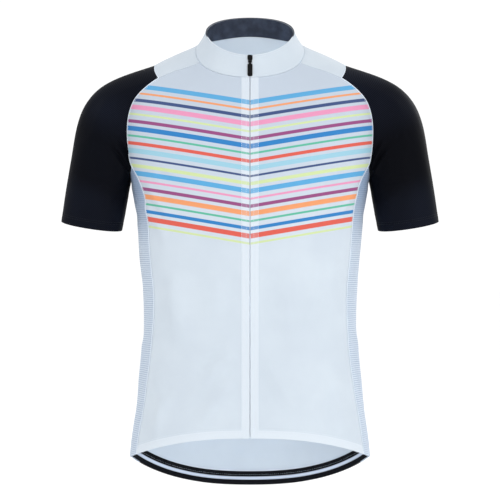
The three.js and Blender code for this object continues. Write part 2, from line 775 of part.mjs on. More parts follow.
// A striped elastic gripper is sewn inside the hem, round the sides and the tail. It lies on the
// panels' own lowest cells, each row at one distance above the hem.
function rowAboveHem(distance) {
  const level = (sheet, key) =>
    sheet[key][0].map((vector, c) => {
      const cell = sheet.points[0][c].distanceTo(sheet.points[1][c]);
      return vector.clone().lerp(sheet[key][1][c], distance / cell);
    });
  const across = (key) => {
    const side = level(sideSheet, key);
    return [...side.map(mirrorX).reverse(), ...level(backSheet, key).slice(1, -1), ...side];
  };
  const normals = across("normals").map((normal) => normal.normalize());
  return { points: across("points"), normals };
}
const elasticRows = [elasticFromHem, elasticFromHem + elasticHeight].map(rowAboveHem);
const elasticSheet = sheet(
  elasticRows.map((row) => row.points),
  elasticRows.map((row) => row.normals),
);
drawIn(elasticSheet, ["left", "right"], 1);
const elasticTop = -clothWall - layerGap;
const elasticBack = elasticTop - elasticWall;
addMesh("hem_elastic", wallGeometry(elasticSheet, elasticTop, elasticBack), colours.blackElastic);

// Three rear pockets share one patch, which lies on the back on the back's own points.
const pocketRows = [1, 7];
const pocketColumns = [4, 19];
const cutOut = (rows) => rows.slice(...pocketRows).map((row) => row.slice(...pocketColumns));
const pocketSheet = sheet(cutOut(backSheet.points), cutOut(backSheet.normals));
const pocketFace = layerGap + clothWall;
addMesh("pocket_patch", wallGeometry(pocketSheet, pocketFace, layerGap), colours.whiteKnit);

// The slider stands at the top of the zip, with a plate on each face of the cloth and a post in
// the slot. Its lugs hold a pin, and the pull tab turns on the pin and hangs down the collar.
// Its own frame has x across, y up the collar and z out of the cloth, from the plate's foot.
const slider = {
  width: 8,
  height: 8.4,
  plate: 1.8,
  corner: 2,
  post: 0.7,
  backPlate: 1.2,
  backDepth: 3.9,
};
const lug = { inside: 2, outside: 3.1, radius: 1.9, pinRadius: 0.8, pinBelow: 3 };
const pull = {
  neck: 1.6,
  holeRadius: 1.15,
  width: 8,
  thick: 1.5,
  shoulder: 3.2,
  length: 24.2,
  endRadius: 2.6,
};
const metalGap = 0.35;
const tabGap = 0.7;
const roundCells = 20;

const wasm = await Module();
wasm.setup();
const { Manifold, CrossSection } = wasm;

function roundedPlate(width, low, high, radius, from, to) {
  const outline = CrossSection.square([width - 2 * radius, high - low - 2 * radius], true)
    .offset(radius, "Round", 2, roundCells)
    .translate([0, (low + high) / 2]);
  return outline.extrude(to - from).translate([0, 0, from]);
}

function boxBetween(low, high) {
  const size = high.map((value, axis) => value - low[axis]);
  return Manifold.cube(size).translate(low);
}

function rodAcross(radius, halfLength, y, z) {
  const upright = Manifold.cylinder(2 * halfLength, radius, radius, roundCells, true);
  return upright.rotate([0, 90, 0]).translate([0, y, z]);
}

// A solid as geometry, moved from the slider's frame to its place on the collar.
function placedOnCollar(solid) {
  const { points, normals } = collarSheet;
  const column = points[0].length - 1;
  const foot = points[2][column].clone().lerp(points[3][column], sliderShare).setX(0);
  const climb = points[3][column].clone().sub(points[2][column]).setX(0).normalize();
  const outward = new THREE.Vector3(1, 0, 0).cross(climb);
  const frame = new THREE.Matrix4();
  frame.makeBasis(new THREE.Vector3(1, 0, 0), climb, outward).setPosition(foot);
  const mesh = solid.getMesh();
  const geometry = new THREE.BufferGeometry();
  const kept = [];
  for (let i = 0; i < mesh.numVert; i += 1) {
    const first = i * mesh.numProp;
    kept.push(...mesh.vertProperties.subarray(first, first + 3));
  }
  geometry.setAttribute("position", new THREE.Float32BufferAttribute(kept, 3));
  geometry.setIndex(Array.from(mesh.triVerts));
  return geometry.applyMatrix4(frame);
}

const pinY = -lug.pinBelow;
const pinZ = metalGap + lug.radius;
const faceTop = metalGap + slider.plate;
const facePlate = roundedPlate(slider.width, 0, slider.height, slider.corner, metalGap, faceTop);
const backLow = -slider.backDepth;
const backHigh = backLow + slider.backPlate;
const backPlate = roundedPlate(slider.width, 0, slider.height, slider.corner, backLow, backHigh);
const post = boxBetween(
  [-slider.post / 2, 2, backLow + 0.5],
  [slider.post / 2, slider.height - 2, metalGap + 0.5],
);
const lugBlock = rodAcross(lug.radius, lug.outside, pinY, pinZ)
  .add(boxBetween([-lug.outside, pinY, metalGap], [lug.outside, 0.8, faceTop]))
  .subtract(boxBetween([-lug.inside, pinY - 3, -1], [lug.inside, -metalGap, 6]));
const pin = rodAcross(lug.pinRadius, lug.inside + 0.5, pinY, pinZ);
const body = facePlate.add(backPlate).add(post).add(lugBlock).add(pin);
addMesh("zip_slider", placedOnCollar(body), colours.blackMetal, 0.35, 0.8);

const [tabLow, tabHigh] = [pinY - pull.length, pinY - pull.shoulder];
const tabFace = tabGap + pull.thick;
const tab = roundedPlate(pull.width, tabLow, tabHigh, pull.endRadius, tabGap, tabFace)
  .add(boxBetween([-pull.neck, tabHigh - 3, tabGap], [pull.neck, pinY, tabFace]))
  .add(rodAcross(lug.radius, pull.neck, pinY, pinZ))
  .subtract(rodAcross(pull.holeRadius, pull.neck + 1, pinY, pinZ));
addMesh("zip_pull", placedOnCollar(tab), colours.blackMetal, 0.35, 0.8);

export default jersey;
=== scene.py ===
"""A short-sleeved cycling jersey with a full-length front zip, filled out as it is when worn.

Metres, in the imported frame: +X is the wearer's left, -Y is the front and +Z is up, and the
origin is the centre of the neck's base. Every sewn piece is the frame's own wall with finer
faces, its creases pressed in and its knit, print and stitching added.
"""

import math

import bmesh
import bpy
import numpy as np
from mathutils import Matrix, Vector
from mathutils.bvhtree import BVHTree
from mathutils.kdtree import KDTree


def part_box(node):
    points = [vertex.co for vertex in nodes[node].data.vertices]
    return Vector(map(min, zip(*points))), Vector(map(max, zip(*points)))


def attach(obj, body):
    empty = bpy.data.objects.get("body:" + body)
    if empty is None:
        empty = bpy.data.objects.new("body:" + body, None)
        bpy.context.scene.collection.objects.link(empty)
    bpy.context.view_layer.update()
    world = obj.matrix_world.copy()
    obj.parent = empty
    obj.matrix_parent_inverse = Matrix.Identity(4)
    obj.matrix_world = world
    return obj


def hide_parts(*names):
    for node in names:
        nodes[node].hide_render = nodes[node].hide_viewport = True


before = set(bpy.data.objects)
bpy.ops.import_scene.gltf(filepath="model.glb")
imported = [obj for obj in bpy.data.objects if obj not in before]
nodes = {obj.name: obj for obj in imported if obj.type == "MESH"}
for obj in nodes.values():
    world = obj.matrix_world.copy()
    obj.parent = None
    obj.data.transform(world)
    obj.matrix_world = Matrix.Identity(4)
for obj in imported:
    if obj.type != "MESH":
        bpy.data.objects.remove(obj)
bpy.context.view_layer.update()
mm = 0.001


# Fronts. Two panels of fine white warp knit, printed before they were cut, that meet at the
# zip. Each is sewn to its sleeve and side panel with a flat seam, and its hem is turned up
# and coverstitched.
thickest_wall = 2.6 * mm
corner_angle = math.radians(48)
edge_angle = math.radians(36)


def fine_wall(name, levels=2):
    """The node's wall as a piece of its own: quads, with its cut edges kept sharp, made finer."""
    joined = bmesh.new()
    joined.from_mesh(nodes[name].data)
    bmesh.ops.remove_doubles(joined, verts=joined.verts, dist=0.02 * mm)
    bmesh.ops.join_triangles(
        joined,
        faces=joined.faces,
        angle_face_threshold=math.radians(50),
        angle_shape_threshold=math.pi,
    )
    crease = joined.edges.layers.float.new("crease_edge")
    cut = {
        face
        for face in joined.faces
        if min(edge.calc_length() for edge in face.edges) < thickest_wall
    }
    for edge in joined.edges:
        beside = len(cut.intersection(edge.link_faces))
        if beside == 1 or beside == 2 and edge.calc_face_angle(0) > corner_angle:
            edge[crease] = 1
    coarse = bpy.data.meshes.new(name + "_coarse")
    joined.to_mesh(coarse)
    joined.free()
    piece = bpy.data.objects.new(name + "_cloth", coarse)
    bpy.context.scene.collection.objects.link(piece)
    finer = piece.modifiers.new("finer", "SUBSURF")
    finer.levels = finer.render_levels = levels
    bpy.context.view_layer.update()
    piece.data = bpy.data.meshes.new_from_object(
        piece.evaluated_get(bpy.context.evaluated_depsgraph_get())
    )
    piece.modifiers.clear()
    piece.data.materials.clear()
    for polygon in piece.data.polygons:
        polygon.use_smooth = True
    piece.data.set_sharp_from_angle(angle=edge_angle)
    return piece


def points_of(piece):
    points = np.empty(len(piece.data.vertices) * 3)
    piece.data.vertices.foreach_get("co", points)
    return points.reshape(-1, 3)


def set_points(piece, points):
    piece.data.vertices.foreach_set("co", points.ravel())
    piece.data.update()


body_half_width = 185 * mm
body_half_depth = 108 * mm
shoulder_start = -150 * mm
shoulder_rise = 150 * mm


def body_outward(points):
    """The way out of the body at each point: level below the shoulders, and upwards over them."""
    above = np.maximum(points[:, 2] - shoulder_start, 0)
    way = points * [1 / body_half_width**2, 1 / body_half_depth**2, 0]
    way[:, 2] = above / shoulder_rise**2
    return way / np.linalg.norm(way, axis=1, keepdims=True)


def fade(share):
    """0 to 1, with soft ends."""
    share = np.clip(share, 0, 1)
    return share * share * (3 - 2 * share)


crease_start = 0.22
crease_end = 0.5
face_blend = 12


def press_creases(piece, creases, outward):
    """Moves the cloth in and out along soft creases.

    Each row names the face that it is seen from, the two ends of its line across and up that
    face, the line's bow to one side, and the crease's width and depth, all in mm."""
    points = points_of(piece)
    ways = outward(points)
    push = np.zeros(len(points))
    for face, across1, height1, across2, height2, bow, width, depth in creases:
        axis, sign = {"front": (0, -1), "back": (0, 1), "right": (1, -1), "left": (1, 1)}[face]
        start = np.array([across1, height1]) * mm
        run = np.array([across2, height2]) * mm - start
        length = np.linalg.norm(run)
        run = run / length
        flat = points[:, [axis, 2]] - start
        along = flat @ run / length
        off = flat @ [run[1], -run[0]] - bow * mm * 4 * along * (1 - along)
        facing = fade(0.5 + face_blend * sign * points[:, 1 - axis])
        ends = fade(along / crease_start) * fade((1 - along) / crease_end)
        share = off / (width * mm)
        ridge = np.exp(-(share**2)) - 0.45 * np.exp(-(((share - 1.7) / 1.2) ** 2))
        push += depth * mm * facing * ends * ridge
    set_points(piece, points + ways * push[:, None])


def cut_edges(piece, outward, chosen):
    """Points along the piece's outer cut edges, each with the ways into the cloth and out of it.

    An edge is taken where chosen(its middle, the way off the cloth's edge) is true. The points
    come in one list for each unbroken run."""
    shell = bmesh.new()
    shell.from_mesh(piece.data)
    sharp = [edge for edge in shell.edges if edge.calc_face_angle(0) > edge_angle]
    middles = np.array([(edge.verts[0].co + edge.verts[1].co) / 2 for edge in sharp])
    links = {}
    for edge, middle, out in zip(sharp, middles, outward(middles)):
        face, side = sorted(edge.link_faces, key=lambda face: -face.normal.dot(Vector(out)))
        inner = side.normal.dot(Vector(out)) < -0.6
        if face.normal.dot(Vector(out)) < 0.35 or inner or not chosen(middle, side.normal):
            continue
        run = (edge.verts[1].co - edge.verts[0].co).normalized()
        inward = face.calc_center_median() - Vector(middle)
        inward = (inward - run * inward.dot(run)).normalized()
        for here, there in (edge.verts, reversed(edge.verts)):
            links.setdefault(here, []).append((there, inward, face.normal.copy()))
    runs = []
    while links:
        here = next((vertex for vertex in links if len(links[vertex]) == 1), next(iter(links)))
        run = []
        while here in links:
            ways = links.pop(here)
            run.append((here.co.copy(), ways[0][1], ways[0][2]))
            here = next((there for there, *_ in ways if there in links), here)
        if len(run) > 2:
            runs.append(run)
    shell.free()
    return runs


def along_run(run, pitch, inset=0):
    """Evenly spaced places on a run, moved into the cloth: points, ways along it and ways out."""
    points = np.array([point + inward * inset for point, inward, _ in run])
    outs = np.array([out for *_, out in run])
    lengths = np.concatenate([[0], np.cumsum(np.linalg.norm(np.diff(points, axis=0), axis=1))])
    wanted = np.arange(pitch / 2, lengths[-1], pitch)
    placed = np.stack([np.interp(wanted, lengths, points[:, i]) for i in range(3)], axis=1)
    out = np.stack([np.interp(wanted, lengths, outs[:, i]) for i in range(3)], axis=1)
    ways = np.gradient(points, axis=0)
    way = np.stack([np.interp(wanted, lengths, ways[:, i]) for i in range(3)], axis=1)
    return placed, way / np.linalg.norm(way, axis=1, keepdims=True), out


def distance_to(points, runs):
    """How far each point is from the nearest of the runs."""
    near = np.concatenate([along_run(run, 0.8 * mm)[0] for run in runs])
    tree = KDTree(len(near))
    for i, point in enumerate(near):
        tree.insert(point, i)
    tree.balance()
    return np.array([tree.find(point)[2] for point in points])


band_edge = 1.6 * mm
row_depth = 0.4 * mm
row_width = 1.3 * mm


def press_band(piece, outward, runs, reach, height, rows):
    """Lifts the doubled cloth beside the runs, and pulls it in along its rows of stitches."""
    points = points_of(piece)
    off = distance_to(points, runs)
    push = height * (1 - fade((off - reach + band_edge / 2) / band_edge))
    for row in rows:
        push -= row_depth * np.exp(-(((off - row) / row_width) ** 2))
    set_points(piece, points + outward(points) * push[:, None])


def press_seam(piece, outward, runs, groove=0.55 * mm, width=2.6 * mm):
    """Sinks the cloth softly towards a seam."""
    points = points_of(piece)
    off = distance_to(points, runs)
    push = -groove * np.exp(-((off / width) ** 2))
    push += 0.35 * groove * np.exp(-(((off - 2.6 * width) / (1.4 * width)) ** 2))
    set_points(piece, points + outward(points) * push[:, None])


def new_piece(name, mesh, material):
    piece = bpy.data.objects.new(name, mesh)
    bpy.context.scene.collection.objects.link(piece)
    mesh.materials.append(material)
    return piece


def repeated(name, size, places, material):
    """One joined mesh of many small rounded beads of a size, at places of (centre, axes)."""
    bead = bmesh.new()
    bmesh.ops.create_icosphere(bead, subdivisions=1, radius=0.5)
    shape = np.array([vertex.co for vertex in bead.verts]) * size
    corners = np.array([[vertex.index for vertex in face.verts] for face in bead.faces])
    bead.free()
    points = np.concatenate([centre + shape @ axes for centre, axes in places])
    steps = np.arange(len(places))[:, None, None] * len(shape)
    mesh = bpy.data.meshes.new(name)
    mesh.from_pydata(points, [], (corners[None] + steps).reshape(-1, 3))
    mesh.polygons.foreach_set("use_smooth", [True] * len(mesh.polygons))
    return new_piece(name, mesh, material)


stitch_pitch = 3.2 * mm
stitch_size = np.array([2.5, 0.55, 0.42]) * mm


def stitch_places(piece, rows):
    """Where the stitches of some rows lie on the piece: each row is a list of runs and an inset."""
    surface = bmesh.new()
    surface.from_mesh(piece.data)
    tree = BVHTree.FromBMesh(surface)
    surface.free()
    places = []
    for runs, inset in rows:
        for run in runs:
            for point, way, out in zip(*along_run(run, stitch_pitch, inset)):
                centre, normal, *_ = tree.find_nearest(Vector(point))
                normal = normal if normal.dot(Vector(out)) > 0.3 else Vector(out).normalized()
                way = Vector(way)
                way = (way - normal * way.dot(normal)).normalized()
                places.append((np.array(centre + normal * 0.1 * mm),
                               np.array([way, normal.cross(way), normal])))
    return places


def lay_grain(piece, around, along, name="grain"):
    """Gives the piece a UV map in metres that follows its knit: around it and along it."""
    points = points_of(piece)
    turn, radius = around(points)
    height = along(points)
    grain = piece.data.uv_layers.new(name=name)
    for polygon in piece.data.polygons:
        first = turn[polygon.vertices[0]]
        for corner, vertex in zip(polygon.loop_indices, polygon.vertices):
            angle = turn[vertex]
            angle -= 2 * math.pi * round((angle - first) / (2 * math.pi))
            grain.uv[corner].vector = (angle * radius, height[vertex])


def body_turn(points):
    """The angle about the body from the middle of its back, evened to arc length, and the radius."""
    angles = np.linspace(-math.pi, math.pi, 181)
    ring = np.stack([body_half_width * np.sin(angles), body_half_depth * np.cos(angles)])
    steps = np.linalg.norm(np.diff(ring, axis=1), axis=0)
    arcs = np.concatenate([[0], np.cumsum(steps)]) - steps.sum() / 2
    turn = np.arctan2(points[:, 0] / body_half_width, points[:, 1] / body_half_depth)
    radius = steps.sum() / (2 * math.pi)
    return np.interp(turn, angles, arcs) / radius, radius


def height_of(points):
    return points[:, 2]


class Shade:
    """One output of a material's node tree, or the bare tree. Arithmetic on it adds Math nodes."""

    def __init__(self, tree, socket=None):
        self.tree = tree
        self.socket = socket

    def node(self, kind, settings=(), inputs=(), output=0):
        """A new node: its settings first, then the values or links of its sockets."""
        made = self.tree.nodes.new(kind)
        for name, value in dict(settings).items():
            if name == "stops":
                ramp = made.color_ramp
                while len(ramp.elements) < len(value):
                    ramp.elements.new(1)
                for element, (place, colour) in zip(ramp.elements, value):
                    element.position = place
                    element.color = colour
            elif name == "interpolation":
                made.color_ramp.interpolation = value
            else:
                setattr(made, name, value)
        for name, value in dict(inputs).items():
            if isinstance(value, Shade):
                self.tree.links.new(value.socket, made.inputs[name])
            else:
                made.inputs[name].default_value = value
        return Shade(self.tree, made.outputs[output])

    def maths(self, operation, *values):
        return self.node("ShaderNodeMath", {"operation": operation}, enumerate(values))

    def __add__(self, other):
        return self.maths("ADD", self, other)

    def __sub__(self, other):
        return self.maths("SUBTRACT", self, other)

    def __rsub__(self, other):
        return self.maths("SUBTRACT", other, self)

    def __mul__(self, other):
        return self.maths("MULTIPLY", self, other)

    def __truediv__(self, other):
        return self.maths("DIVIDE", self, other)

    def __abs__(self):
        return self.maths("ABSOLUTE", self)

    __radd__ = __add__
    __rmul__ = __mul__

    def step(self, low, high):
        """0 below low and 1 above high, with a soft edge between them."""
        return self.node(
            "ShaderNodeMapRange",
            {"interpolation_type": "SMOOTHSTEP"},
            {"Value": self, "From Min": low, "From Max": high},
        )

    def mix(self, under, over):
        """The colour under where this is 0, and over where it is 1."""
        return self.node(
            "ShaderNodeMix",
            {"data_type": "RGBA"},
            {0: self, 6: under, 7: over},
            output=2,
        )


def linear(red, green, blue):
    """A colour given as it shows on a screen, 0 to 255, in the renderer's linear values."""
    parts = [c / 255 for c in (red, green, blue)]
    return (*[c / 12.92 if c <= 0.04045 else ((c + 0.055) / 1.055) ** 2.4 for c in parts], 1)


def new_material(name):
    """An empty Principled material, its tree wrapped, and its shader node."""
    material = bpy.data.materials.new(name)
    material.use_nodes = True
    tree = material.node_tree
    return material, Shade(tree), tree.nodes["Principled BSDF"]


def set_finish(shades, shader, colour, roughness, height, relief, **constants):
    """Links what varies over the cloth and sets what doesn't."""
    for socket, value in (("Base Color", colour), ("Roughness", roughness)):
        if isinstance(value, Shade):
            shades.tree.links.new(value.socket, shader.inputs[socket])
        else:
            shader.inputs[socket].default_value = value
    bump = shades.node("ShaderNodeBump", (), {"Distance": relief, "Height": height})
    shades.tree.links.new(bump.socket, shader.inputs["Normal"])
    for socket, value in constants.items():
        shader.inputs[socket.replace("_", " ")].default_value = value


def grain_of(shades, name="grain"):
    """The two directions of the knit, in metres: across the wales and along them."""
    place = shades.node("ShaderNodeUVMap", {"uv_map": name})
    parts = shades.node("ShaderNodeSeparateXYZ", (), {0: place})
    return parts, Shade(shades.tree, parts.socket.node.outputs[1])


wale_pitch = 1.5 * mm
course_pitch = 1.1 * mm


def knit_height(shades, wales=wale_pitch, courses=course_pitch):
    """Fine loops of the knit: rows crossed by columns."""
    across, up = grain_of(shades)
    columns = (across * (2 * math.pi / wales)).maths("SINE", across * (2 * math.pi / wales))
    rows = (up * (2 * math.pi / courses)).maths("SINE", up * (2 * math.pi / courses))
    return 0.5 + 0.25 * columns + 0.25 * rows


def cloth_mottle(shades, scale=9, detail=3):
    """Slow unevenness of the cloth, about 0.5."""
    place = shades.node("ShaderNodeTexCoord", output=3)
    return shades.node(
        "ShaderNodeTexNoise",
        (),
        {"Vector": place, "Scale": scale, "Detail": detail, "Roughness": 0.5},
    )


white_shade = linear(189, 199, 209)
white_light = linear(195, 205, 214)
white_double = linear(206, 214, 222)
# A darker white for painted shade on the upper fronts and beside the pocket seams.
white_painted_shade = linear(176, 187, 201)
placket_width = 13.4 * mm
collar_placket = 6.6 * mm
front_hem_width = 13 * mm
pocket_seams_x = 48 * mm

stripe_pitch = 11.5 * mm
stripe_top = -67 * mm
stripe_slope = 0.17
stripe_inks = {
    "blue": linear(0, 112, 178),
    "navy": linear(36, 60, 112),
    "lime": linear(192, 208, 150),
    "red": linear(205, 76, 58),
    "purple": linear(136, 54, 112),
    "sky": linear(74, 154, 202),
    "orange": linear(222, 142, 88),
    "green": linear(78, 170, 142),
    "pink": linear(216, 136, 172),
    "pale": linear(142, 188, 206),
}
stripe_order = (
    "sky orange navy pink lime purple blue green red pale "
    "navy lime sky pink purple orange green blue red lime"
).split()
stripe_shares = [0.66, 0.28, 0.46]


def white_knit(name):
    material, shades, shader = new_material(name)
    mottle = cloth_mottle(shades, 14, 4).step(0.25, 0.75)
    colour = mottle.mix(white_shade, white_light)
    place = shades.node("ShaderNodeTexCoord", output=3)
    x = shades.node("ShaderNodeSeparateXYZ", (), {0: place})
    if name == "collar_knit":
        y = Shade(shades.tree, x.socket.node.outputs[1])
        doubled = 1 - abs(x).step(collar_placket - 0.8 * mm, collar_placket + 0.4 * mm)
        doubled = doubled * (1 - y.step(-6 * mm, 6 * mm))
        colour = (doubled * 0.8).mix(colour, white_double)
    if name == "pocket_knit":
        # Painted shadow along the two seams that divide the pockets.
        seam_shadow = 1 - abs(abs(x) - pocket_seams_x).step(0.7 * mm, 2.6 * mm)
        colour = (seam_shadow * 0.45).mix(colour, white_painted_shade)
    if name == "back_knit":
        bound = 1 - grain_of(shades, "hem")[1].step(3.0 * mm, 3.3 * mm)
        colour = bound.mix(colour, linear(20, 22, 27))
    if name == "printed_knit":
        z = Shade(shades.tree, x.socket.node.outputs[2])
        # Painted shade: the fronts darken towards the top, from 330 mm below the neck up over the
        # chest.
        colour = (z.step(-330 * mm, -90 * mm) * 0.8).mix(colour, white_painted_shade)
        fall = (stripe_top - z + abs(x) * stripe_slope) / stripe_pitch
        count = len(stripe_order)
        stops = [
            (i / count, (*stripe_inks[ink][:3], stripe_shares[i % 3]))
            for i, ink in enumerate(stripe_order)
        ]
        ramp = shades.node(
            "ShaderNodeValToRGB",
            {"interpolation": "CONSTANT", "stops": stops},
            {0: fall / count},
        )
        share = Shade(shades.tree, ramp.socket.node.outputs[1])
        middle = abs(fall.maths("FRACT", fall) - 0.5)
        stripe = 1 - (middle - share * 0.5).step(-0.02, 0.02)
        inside = fall.step(-0.001, 0.001) * (1 - fall.step(count - 0.001, count + 0.001))
        from_hem = grain_of(shades, "hem")[1]
        doubled = 1 - abs(x).step(placket_width - 1.1 * mm, placket_width + 0.7 * mm)
        doubled = doubled.maths(
            "MAXIMUM",
            doubled,
            1 - from_hem.step(front_hem_width - 1.1 * mm, front_hem_width + 0.7 * mm),
        )
        colour = (doubled * 0.7).mix(colour, white_double)
        colour = (stripe * inside * (0.96 - doubled * 0.14)).mix(colour, ramp)
    set_finish(
        shades,
        shader,
        colour,
        0.72,
        knit_height(shades),
        0.12 * mm,
        Sheen_Weight=0.15,
        Sheen_Roughness=0.5,
        Specular_IOR_Level=0.3,
    )
    return material


printed_knit = white_knit("printed_knit")
plain_knit = white_knit("white_knit")
back_knit = white_knit("back_knit")
collar_knit = white_knit("collar_knit")
pocket_knit = white_knit("pocket_knit")

body_creases = [
    ("front", -22, -455, -75, -520, 6, 11, 3.8),
    ("front", -30, -500, -95, -585, -5, 13, 3.5),
    ("front", -118, -330, -98, -470, 8, 15, 3.7),
    ("front", -62, -318, -52, -430, -6, 18, 2.7),
    ("front", -164, -192, -112, -262, 4, 7, 3.5),
    ("front", -168, -224, -126, -300, -4, 9, 3.2),
    ("front", -148, -176, -92, -204, 5, 8, -2.4),
    ("front", -128, -520, -150, -612, 5, 12, 3.8),
    ("front", 62, -322, 74, -470, 6, 17, 3.4),
    ("front", 125, -300, 104, -430, -8, 14, 3.8),
    ("front", 30, -470, 82, -560, 5, 13, 3.4),
    ("front", 166, -196, 118, -270, -5, 8, 3.7),
    ("front", 150, -180, 100, -216, -4, 8, -2.2),
    ("front", 136, -500, 148, -608, 4, 13, 3.5),
    ("front", 20, -392, 88, -412, 7, 12, 2.1),
    ("back", -96, -120, -60, -330, 10, 18, 4.2),
    ("back", 88, -140, 70, -350, -9, 20, 3.8),
    ("back", -140, -330, -88, -450, 7, 13, 4.6),
    ("back", 146, -310, 84, -440, -8, 14, 4.3),
    ("back", -22, -300, -28, -455, 4, 16, 3.2),
    ("back", 36, -60, 26, -180, 4, 16, 3.0),
    ("back", -132, -96, -70, -132, -6, 12, 2.9),
    ("back", 124, -88, 62, -118, 7, 13, 2.6),
    ("right", 30, -240, 12, -380, 5, 10, 3.5),
    ("right", -22, -430, -8, -560, -4, 10, 3.2),
    ("right", 8, -196, -14, -262, 3, 8, -2.9),
    ("left", 26, -250, 10, -370, -4, 10, 3.2),
    ("left", -20, -420, -6, -575, 4, 11, 3.5),
    ("left", 4, -200, -18, -258, -3, 8, -2.7),
]

white_thread, shades, shader = new_material("white_thread")
set_finish(
    shades, shader, linear(214, 224, 234), 0.6, cloth_mottle(shades, 900, 2), 0.05 * mm,
    Specular_IOR_Level=0.3,
)


hem_top = -585 * mm
armpit = -170 * mm
yoke_foot = -34 * mm
yoke_end = 143.8 * mm
neck_side = 79 * mm


def on_hem(middle, way):
    return middle[2] < hem_top and way.z < -0.7


def on_side(middle, way):
    return middle[2] < armpit + 2 * mm and abs(middle[0]) > 140 * mm and way.z > -0.7


def on_armhole(middle, way):
    return middle[2] > armpit - 2 * mm and abs(middle[0]) > yoke_end


def on_yoke(middle, way):
    x, y, z = middle
    return z > yoke_foot and neck_side < abs(x) < yoke_end and y < 0


def on_neck(middle, way):
    x, y, z = middle
    shoulder = y > 2 * mm and neck_side < abs(x) < 90 * mm
    return z > -60 * mm and (abs(x) < neck_side + 2.5 * mm or shoulder) and way.z > 0.3


def on_zip(middle, way):
    return abs(middle[0]) < 3 * mm and abs(way.x) > 0.7


zip_rows = [5.2 * mm, 12.2 * mm]
front_hem_rows = [11.4 * mm, 14.4 * mm]
side_row = 2.4 * mm
armhole_row = 2.6 * mm
yoke_row = 2.2 * mm
armhole_runs = []
side_runs = []
sewn = []
for side in ("right", "left"):
    front = fine_wall(f"front_{side}", 3)
    press_creases(front, body_creases, body_outward)
    hem_edge, side_edge, armhole, yoke_edge, neck_edge, zip_edge = (
        cut_edges(front, body_outward, chosen)
        for chosen in (on_hem, on_side, on_armhole, on_yoke, on_neck, on_zip)
    )
    armhole_runs += armhole
    side_runs += side_edge
    press_band(front, body_outward, zip_edge, placket_width, 0.6 * mm, zip_rows)
    press_band(front, body_outward, hem_edge, front_hem_width, 0.4 * mm, front_hem_rows[:1])
    press_seam(front, body_outward, side_edge)
    press_seam(front, body_outward, yoke_edge + neck_edge, 0.25 * mm, 2.2 * mm)
    lay_grain(front, body_turn, height_of)
    lay_grain(front, body_turn, lambda points: distance_to(points, hem_edge), "hem")
    front.data.materials.append(printed_knit)
    front.data.materials.append(plain_knit)
    centres = np.array([polygon.center for polygon in front.data.polygons])
    for polygon, out in zip(front.data.polygons, body_outward(centres)):
        polygon.material_index = int(polygon.normal.dot(Vector(out)) < 0)
    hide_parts(f"front_{side}")
    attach(front, "jersey")
    rows = [(zip_edge, row) for row in zip_rows] + [(hem_edge, row) for row in front_hem_rows]
    rows += [(side_edge, side_row), (armhole, armhole_row)]
    rows += [(yoke_edge, yoke_row), (neck_edge, yoke_row)]
    sewn += stitch_places(front, rows)

# Back with its shoulder yoke. One panel of the same white knit, which comes over the shoulders
# to the yoke seams, with three pockets patched on above the tail.
tail_rows = [21 * mm, 24 * mm]
back = fine_wall("back")
press_creases(back, body_creases, body_outward)
back_hem, back_sides, back_armholes, back_yokes, back_neck = (
    cut_edges(back, body_outward, chosen)
    for chosen in (on_hem, on_side, on_armhole, on_yoke, on_neck)
)
armhole_runs += back_armholes
side_runs += back_sides
press_seam(back, body_outward, back_sides)
press_seam(back, body_outward, back_yokes + back_neck, 0.25 * mm, 2.2 * mm)
lay_grain(back, body_turn, height_of)
lay_grain(back, body_turn, lambda points: distance_to(points, back_hem), "hem")
back.data.materials.append(back_knit)
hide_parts("back")
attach(back, "jersey")
rows = [(back_hem, row) for row in tail_rows]
rows += [(back_sides, side_row), (back_armholes, armhole_row)]
rows += [(back_yokes, yoke_row), (back_neck, yoke_row)]
sewn += stitch_places(back, rows)

pocket_half_width = 142.7 * mm
pocket_gape = 3.2 * mm
pocket_mouth = 42 * mm
pocket_mouth_rows = [17 * mm, 20 * mm]
divide_rows = [-1.6 * mm, 1.6 * mm]
divide_foot = -628 * mm
divide_step = 8 * mm
pocket = fine_wall("pocket_patch")
press_creases(pocket, body_creases, body_outward)
points = points_of(pocket)
mouth_z = points[:, 2].max()
held_at = np.array([-pocket_half_width, -pocket_seams_x, pocket_seams_x, pocket_half_width])
share = np.interp(points[:, 0], held_at, [0, 1, 2, 3])
slack = np.abs(np.sin(math.pi * share)) * fade(1 - (mouth_z - points[:, 2]) / pocket_mouth)
set_points(pocket, points + body_outward(points) * (pocket_gape * slack)[:, None])
lay_grain(pocket, body_turn, height_of)
pocket.data.materials.append(pocket_knit)
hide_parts("pocket_patch")
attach(pocket, "jersey")
pocket_top = cut_edges(pocket, body_outward, lambda middle, way: way.z > 0.7)
pocket_foot = cut_edges(pocket, body_outward, lambda middle, way: way.z < -0.7)
pocket_ends = cut_edges(pocket, body_outward, lambda middle, way: abs(way.z) < 0.7)
divides = []
levels = np.arange(divide_foot, mouth_z - 2 * mm, divide_step)
aside, behind = Vector((1, 0, 0)), Vector((0, 1, 0))
for x in (-pocket_seams_x, pocket_seams_x):
    for row in divide_rows:
        divides.append([(Vector((x + row, 106 * mm, z)), aside, behind) for z in levels])
rows = [(pocket_top, row) for row in pocket_mouth_rows]
rows += [(pocket_ends, 2 * mm), (divides, 0), (pocket_foot, 3 * mm)]
sewn += stitch_places(pocket, rows)

